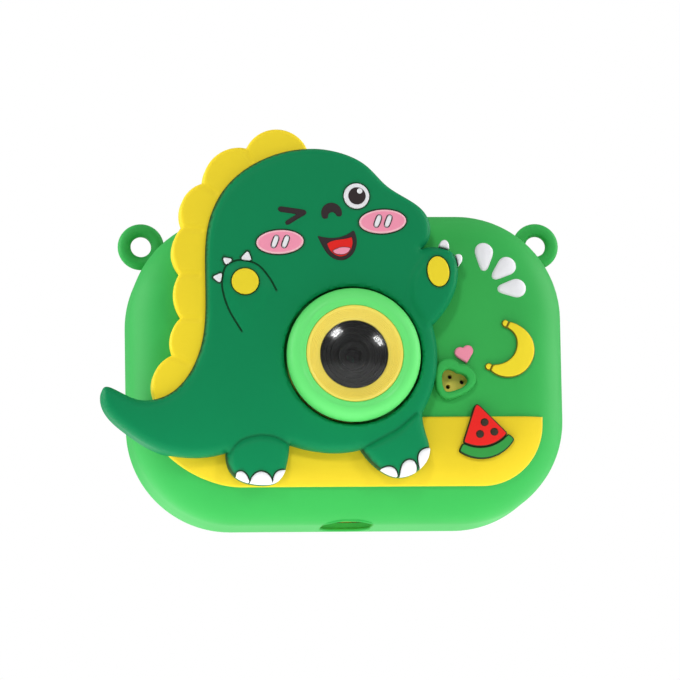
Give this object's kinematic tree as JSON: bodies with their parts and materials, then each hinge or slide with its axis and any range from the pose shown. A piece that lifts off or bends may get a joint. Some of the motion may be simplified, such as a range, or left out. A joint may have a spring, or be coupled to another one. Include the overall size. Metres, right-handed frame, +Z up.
{
  "type": "kids digital camera",
  "caption": "Child's digital camera in a soft silicone cover with a moulded dinosaur round its lens, lanyard eyes, a rear screen with keys and top buttons.",
  "frame": {"origin": "middle of the cover's flat base, on the plane it stands on", "axes": "+X to the right seen from the front, the lens looks along -Y, +Z up"},
  "size_m": [0.1089, 0.0393, 0.0896],
  "materials": {
    "silicone_green": "soft matt silicone",
    "silicone_dark_green": "soft matt silicone",
    "silicone_yellow": "soft matt silicone",
    "silicone_white": "soft matt silicone",
    "silicone_pink": "soft matt silicone",
    "silicone_red": "soft matt silicone",
    "silicone_black": "soft matt silicone",
    "silicone_rind": "soft matt silicone",
    "yellow_plastic": "smooth ABS",
    "green_plastic": "satin ABS",
    "black_plastic": "gloss black",
    "green_button": "satin ABS",
    "clear_lens": "clear",
    "screen_glass": "smoked clear",
    "screen_panel": "dark screen",
    "circuit_board": "solder mask",
    "flex_film": "polyimide film",
    "steel": "stamped steel",
    "battery_foil": "foil pouch",
    "lead_red": "insulated lead",
    "speaker_black": "paper cone in a plastic basket",
    "card_black": "moulded card"
  },
  "bodies": {
    "camera": {"case_cover": "silicone_green", "lanyard_loops": "silicone_green", "dino_body": "silicone_dark_green", "dino_crest": "silicone_yellow", "ground_patch": "silicone_yellow", "foot_claws": "silicone_white", "hand_claws": "silicone_white", "palm_pads": "silicone_yellow", "cheek_patches": "silicone_pink", "cheek_marks": "silicone_white", "eye_white": "silicone_white", "eye_pupil": "silicone_black", "eye_glint": "silicone_white", "wink_eye": "silicone_black", "nose": "silicone_black", "mouth_outline": "silicone_black", "mouth_inside": "silicone_red", "tongue": "silicone_pink", "petals": "silicone_white", "banana": "silicone_yellow", "pink_heart": "silicone_pink", "melon_flesh": "silicone_red", "melon_rind": "silicone_rind", "melon_seeds": "silicone_black", "front_shell": "yellow_plastic", "rear_shell": "yellow_plastic", "case_screws": "steel", "lens_ring": "green_plastic", "trim_ring": "yellow_plastic", "lens_hood": "black_plastic", "lens_window": "clear_lens", "lens_barrel": "black_plastic", "lens_elements": "clear_lens", "sensor_holder": "black_plastic", "sensor_board": "circuit_board", "sensor_flex": "flex_film", "main_board": "circuit_board", "lcd_panel": "screen_panel", "lcd_frame": "black_plastic", "lcd_flex": "flex_film", "screen_window": "screen_glass", "battery": "battery_foil", "battery_leads": "lead_red", "speaker": "speaker_black", "speaker_leads": "lead_red", "usb_socket": "steel", "card_socket": "steel", "key_switches": "black_plastic", "top_switches": "black_plastic"},
    "key_up": {"key_up": "green_button"},
    "key_down": {"key_down": "green_button"},
    "key_left": {"key_left": "green_button"},
    "key_right": {"key_right": "green_button"},
    "key_ok": {"key_ok": "green_button"},
    "key_mode": {"key_mode": "green_button"},
    "key_menu": {"key_menu": "green_button"},
    "shutter_button": {"shutter_button": "green_button"},
    "power_button": {"power_button": "green_button"},
    "memory_card": {"memory_card": "card_black"}
  },
  "joints": [
    {"name": "key_up_press", "type": "slide", "parent": "camera", "child": "key_up", "axis": [0, -1, 0], "range_m": [0, 0.0005], "stiffness_N_per_m": 400, "springref_m": -0.0005},
    {"name": "key_down_press", "type": "slide", "parent": "camera", "child": "key_down", "axis": [0, -1, 0], "range_m": [0, 0.0005], "stiffness_N_per_m": 400, "springref_m": -0.0005},
    {"name": "key_left_press", "type": "slide", "parent": "camera", "child": "key_left", "axis": [0, -1, 0], "range_m": [0, 0.0005], "stiffness_N_per_m": 400, "springref_m": -0.0005},
    {"name": "key_right_press", "type": "slide", "parent": "camera", "child": "key_right", "axis": [0, -1, 0], "range_m": [0, 0.0005], "stiffness_N_per_m": 400, "springref_m": -0.0005},
    {"name": "key_ok_press", "type": "slide", "parent": "camera", "child": "key_ok", "axis": [0, -1, 0], "range_m": [0, 0.0005], "stiffness_N_per_m": 400, "springref_m": -0.0005},
    {"name": "key_mode_press", "type": "slide", "parent": "camera", "child": "key_mode", "axis": [0, -1, 0], "range_m": [0, 0.0005], "stiffness_N_per_m": 400, "springref_m": -0.0005},
    {"name": "key_menu_press", "type": "slide", "parent": "camera", "child": "key_menu", "axis": [0, -1, 0], "range_m": [0, 0.0005], "stiffness_N_per_m": 400, "springref_m": -0.0005},
    {"name": "shutter_press", "type": "slide", "parent": "camera", "child": "shutter_button", "axis": [0, 0, -1], "range_m": [0, 0.0005], "stiffness_N_per_m": 400, "springref_m": -0.0005},
    {"name": "power_press", "type": "slide", "parent": "camera", "child": "power_button", "axis": [0, 0, -1], "range_m": [0, 0.0005], "stiffness_N_per_m": 400, "springref_m": -0.0005},
    {"name": "card_pull", "type": "slide", "parent": "camera", "child": "memory_card", "axis": [0, 0, -1], "range_m": [0, 0.018]}
  ]
}
